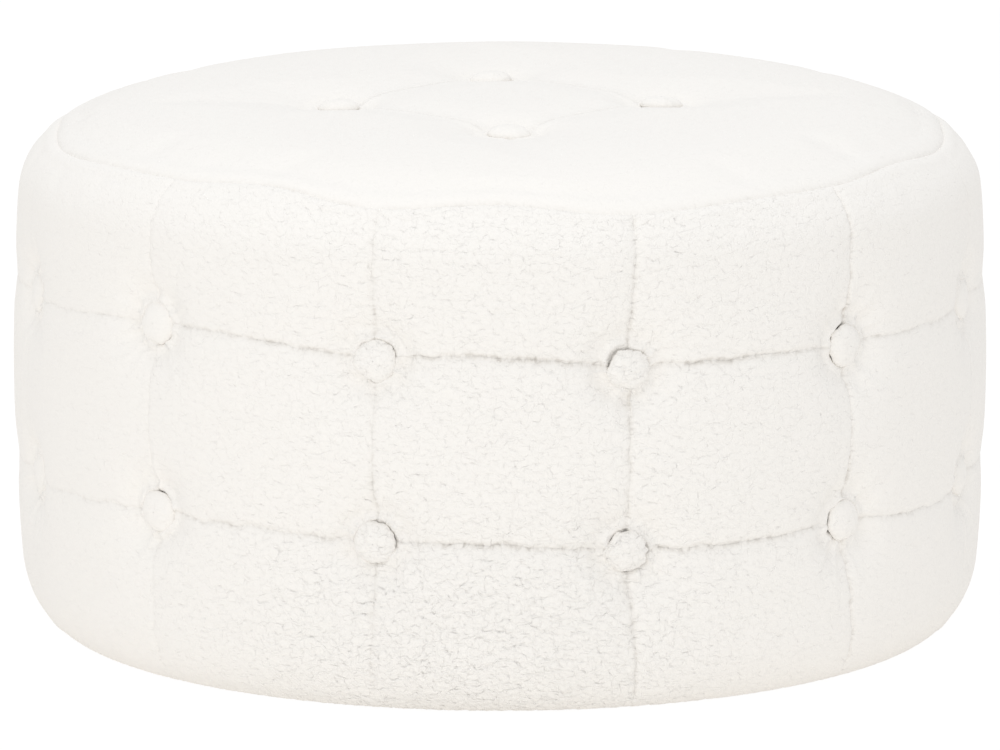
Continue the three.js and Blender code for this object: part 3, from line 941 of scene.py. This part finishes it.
def button_dome(shape, pile, seed, stand):
    """One covered button with its pile, its axis along +Z and its back at zero."""
    outline = np.array(BUTTON_OUTLINE) * (shape.button_radius, shape.button_height)
    steps = np.concatenate([[0], np.cumsum(np.hypot(*np.diff(outline, axis=0).T))])
    along = np.linspace(0, steps[-1], BUTTON_RINGS)
    along[0] = 0.0003
    out, up = np.interp(along, steps, outline[:, 0]), np.interp(along, steps, outline[:, 1])
    turn = np.linspace(0, 2 * np.pi, BUTTON_SPOKES + 1)
    flat = np.stack([along[:, None] * np.cos(turn), along[:, None] * np.sin(turn)], -1)
    places = np.concatenate([flat + (0.11 * seed, 20.0), np.zeros((*flat.shape[:2], 1))], -1)
    height = pile_heights(places)
    wide = np.ones_like(turn)
    for number, bumps in enumerate(BUTTON_BUMPS):
        around = turn * bumps["count"] / (2 * np.pi)
        wide += bumps["amount"] * soft_noise(around, seed * bumps["step"], 1.0, bumps["count"], 61 + number)
    wide[-1] = wide[0]
    points = np.stack([out[:, None] * wide * np.cos(turn), out[:, None] * wide * np.sin(turn),
                       np.broadcast_to(up[:, None], flat.shape[:2])], -1)
    normals = grid_normals(points[::-1], closed=False)[::-1]
    normals[:, -1] = normals[:, 0]
    normals[0] = (0, 0, 1)
    height[:, -1] = height[:, 0]
    fade = smooth(np.linspace(1, 0, BUTTON_RINGS), 0, 0.25)[:, None]
    points = points + normals * (pile.relief * BUTTON_PILE * stand * (height - 0.5) * fade)[..., None]
    return points, height, places


def button_rows(shape, pile, places, seed, stands):
    """Points, quads and marks of a row of buttons at places, each a foot and an outward direction."""
    chance = np.random.default_rng(seed)
    domes, heights, on_cloth = zip(*[button_dome(shape, pile, seed + 7 * k, stand)
                                     for k, stand in enumerate(stands)])
    points = []
    for dome, (foot, outward) in zip(domes, places):
        tilt = Vector(outward) + BUTTON_TILT * Vector(chance.normal(size=3))
        turn = np.array(tilt.to_track_quat("Z", "Y").to_matrix())
        points.append(dome.reshape(-1, 3) @ turn.T + foot)
    index = np.arange(np.size(heights)).reshape(np.shape(heights))
    quads = [quads_of(button[::-1]) for button in index]
    marks = {"pile": np.array(heights), "cloth": np.array(on_cloth)}
    marks["stand"] = np.repeat(stands, index[0].size)
    return np.concatenate(points), np.concatenate(quads), marks


def side_button_places(shape, line):
    """Foot and outward direction of each button in a row of the side, and how far their pile stands up."""
    angles = FIRST_COLUMN + COLUMN_STEP * np.arange(COLUMNS)
    heights = line(shape, angles)
    slope = (side_radius(shape, heights + 0.0005) - side_radius(shape, heights - 0.0005)) / 0.001
    turned = leaned(shape, angles, heights)
    outward = polar(turned, np.ones(COLUMNS), -slope)
    outward /= np.linalg.norm(outward, axis=1, keepdims=True)
    foot = polar(turned, side_radius(shape, heights), heights) - outward * (shape.dent_depth - GAP)
    return list(zip(foot, outward)), BUTTON_STAND * tightness(turned) * pile_stand(turned, heights)


def top_button_places(shape):
    """The same for the square of buttons on top."""
    angles = shape.top_turn + 90 * np.arange(4)
    radius = np.full(4, shape.top_ring)
    foot = polar(angles, radius, crown_height(shape, angles, radius) - TOP_DENT["depth"] + GAP)
    return [(point, (0, 0, 1)) for point in foot], np.full(4, TOP_STAND)


class BuildButtons(bpy.types.Operator):
    """Make the covered buttons: two rows round the side and four on top"""

    bl_idname = "pouffe.buttons"
    bl_label = "Buttons"

    def execute(self, context):
        shape = context.scene.pouffe_shape
        for seed, (row, line) in enumerate({"upper": upper_line, "lower": lower_line}.items()):
            nodes = [f"side_button_{row}_{k + 1:02d}" for k in range(COLUMNS)]
            places, stands = side_button_places(shape, line)
            self.add_row(context, f"side_buttons_{row}", places, stands, 100 + 200 * seed, nodes)
        places, stands = top_button_places(shape)
        self.add_row(context, "top_buttons", places, stands, 500, [f"top_button_{side}" for side in SIDES])
        return {"FINISHED"}

    def add_row(self, context, name, places, stands, seed, nodes):
        """The buttons of one row as one piece."""
        shape, pile = context.scene.pouffe_shape, context.scene.pouffe_pile
        mesh = quad_mesh(name, *button_rows(shape, pile, places, seed, stands))
        place(name, mesh, pile_material("Curly pile buttons", pile), "button_fabric", nodes, fill=0.9)


class DressBasePanel(bpy.types.Operator):
    """Give the underside its plain woven cloth"""

    bl_idname = "pouffe.base_panel"
    bl_label = "Base panel"

    def execute(self, context):
        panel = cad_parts["base_panel"]
        material = cloth_material("Base cloth", tuple(context.scene.pouffe_pile.base))
        for slot in panel.material_slots:
            slot.material = material
        return {"FINISHED"}


def soft_light(name, where, power, colour):
    """A large square lamp that points at the pouffe."""
    lamp = bpy.data.lights.new(name, "AREA")
    lamp.shape = "SQUARE"
    lamp.size = LIGHT_SIZE
    lamp.energy = power
    lamp.color = colour
    made = bpy.data.objects.new(name, lamp)
    made.location = where
    made.rotation_euler = (Vector(LIT_POINT) - Vector(where)).to_track_quat("-Z", "Y").to_euler()
    made.visible_camera = False
    bpy.context.scene.collection.objects.link(made)


def studio_floor():
    """A wide white floor that glows a little, and looks evenly white to the camera."""
    matt = {"Base Color": (0.96, 0.945, 0.92, 1), "Roughness": 0.9, "Specular IOR Level": 0.1}
    white, tree, _ = new_material("White floor", matt)
    plain = tree.nodes["Principled BSDF"].outputs[0]
    seen = add_node(tree, "ShaderNodeLightPath").outputs["Is Camera Ray"]
    tint = blend_of(tree, seen, (1.0, 0.975, 0.945, 1), (1, 1, 1, 1))
    glow = add_node(tree, "ShaderNodeEmission", {"Color": tint, "Strength": WHITE})
    share = sum_of(tree, "MULTIPLY_ADD", seen, 0.45, 0.41)
    both = add_node(tree, "ShaderNodeMixShader", {0: share, 1: plain, 2: glow.outputs[0]})
    feed(tree, tree.nodes["Material Output"].inputs["Surface"], both.outputs[0])
    corners = np.array([[-1, -1, 0], [1, -1, 0], [1, 1, 0], [-1, 1, 0]]) * FLOOR["size"]
    mesh = quad_mesh("floor", corners - (0, 0, FLOOR["below"]), np.array([[0, 1, 2, 3]]), {})
    mesh.materials.append(white)
    floor = bpy.data.objects.new("floor", mesh)
    bpy.context.scene.collection.objects.link(floor)
    return floor


def studio_world(sky):
    """Even light from all round, behind which the camera sees white."""
    world = bpy.data.worlds.new("Studio")
    world.use_nodes = True
    tree = world.node_tree
    back = tree.nodes["Background"].inputs
    seen = add_node(tree, "ShaderNodeLightPath").outputs["Is Camera Ray"]
    back["Color"].default_value = (0.975, 0.985, 1.0, 1)
    feed(tree, back["Strength"], range_of(tree, seen, 0.0, 1.0, sky, WHITE))
    return world


def studio_camera():
    """The camera where the photograph was taken from."""
    lens = bpy.data.cameras.new("Camera")
    lens.sensor_width = 36
    lens.sensor_fit = "HORIZONTAL"
    lens.lens = CAMERA["lens"]
    lens.clip_start, lens.clip_end = 0.1, 100
    camera = bpy.data.objects.new("Camera", lens)
    camera.location = CAMERA["place"]
    camera.rotation_euler = (math.pi / 2 - CAMERA["down"], 0, 0)
    bpy.context.scene.collection.objects.link(camera)
    return camera


class BuildStudio(bpy.types.Operator):
    """Set up the pale floor, the soft lights and the camera at the photograph's angle"""

    bl_idname = "pouffe.studio"
    bl_label = "Studio"

    def execute(self, context):
        scene, studio = context.scene, context.scene.pouffe_studio
        scene.view_settings.view_transform = "Standard"
        floor = studio_floor()
        scene.world = studio_world(studio.sky)
        for name, (where, colour) in LIGHTS.items():
            soft_light(f"{name.capitalize()} light", where, getattr(studio, name), colour)
        scene.camera = studio_camera()
        return {"FINISHED"}


class PouffePanel(bpy.types.Panel):
    """Sizes, pile and studio of the pouffe, and its building steps"""

    bl_idname = "VIEW3D_PT_pouffe"
    bl_label = "Round tufted pouffe"
    bl_space_type = "VIEW_3D"
    bl_region_type = "UI"
    bl_category = "Pouffe"

    def draw(self, context):
        for group in (context.scene.pouffe_shape, context.scene.pouffe_pile, context.scene.pouffe_studio):
            box = self.layout.box()
            for name in group.__annotations__:
                box.prop(group, name)
        for step in STEPS:
            self.layout.operator(step.bl_idname)


STEPS = [BuildSidePanels, BuildTopPanel, BuildButtons, DressBasePanel, BuildStudio]
CLASSES = [PouffeShape, PouffePile, PouffeStudio, *STEPS, PouffePanel]
GROUPS = {"pouffe_shape": PouffeShape, "pouffe_pile": PouffePile, "pouffe_studio": PouffeStudio}


def register():
    for made in CLASSES:
        bpy.utils.register_class(made)
    for name, group in GROUPS.items():
        setattr(bpy.types.Scene, name, PointerProperty(type=group))


def unregister():
    for name in GROUPS:
        delattr(bpy.types.Scene, name)
    for made in reversed(CLASSES):
        bpy.utils.unregister_class(made)


def main():
    register()
    bpy.ops.pouffe.side_panels()
    bpy.ops.pouffe.top_panel()
    bpy.ops.pouffe.buttons()
    bpy.ops.pouffe.base_panel()
    bpy.ops.pouffe.studio()


if __name__ == "__main__":
    main()
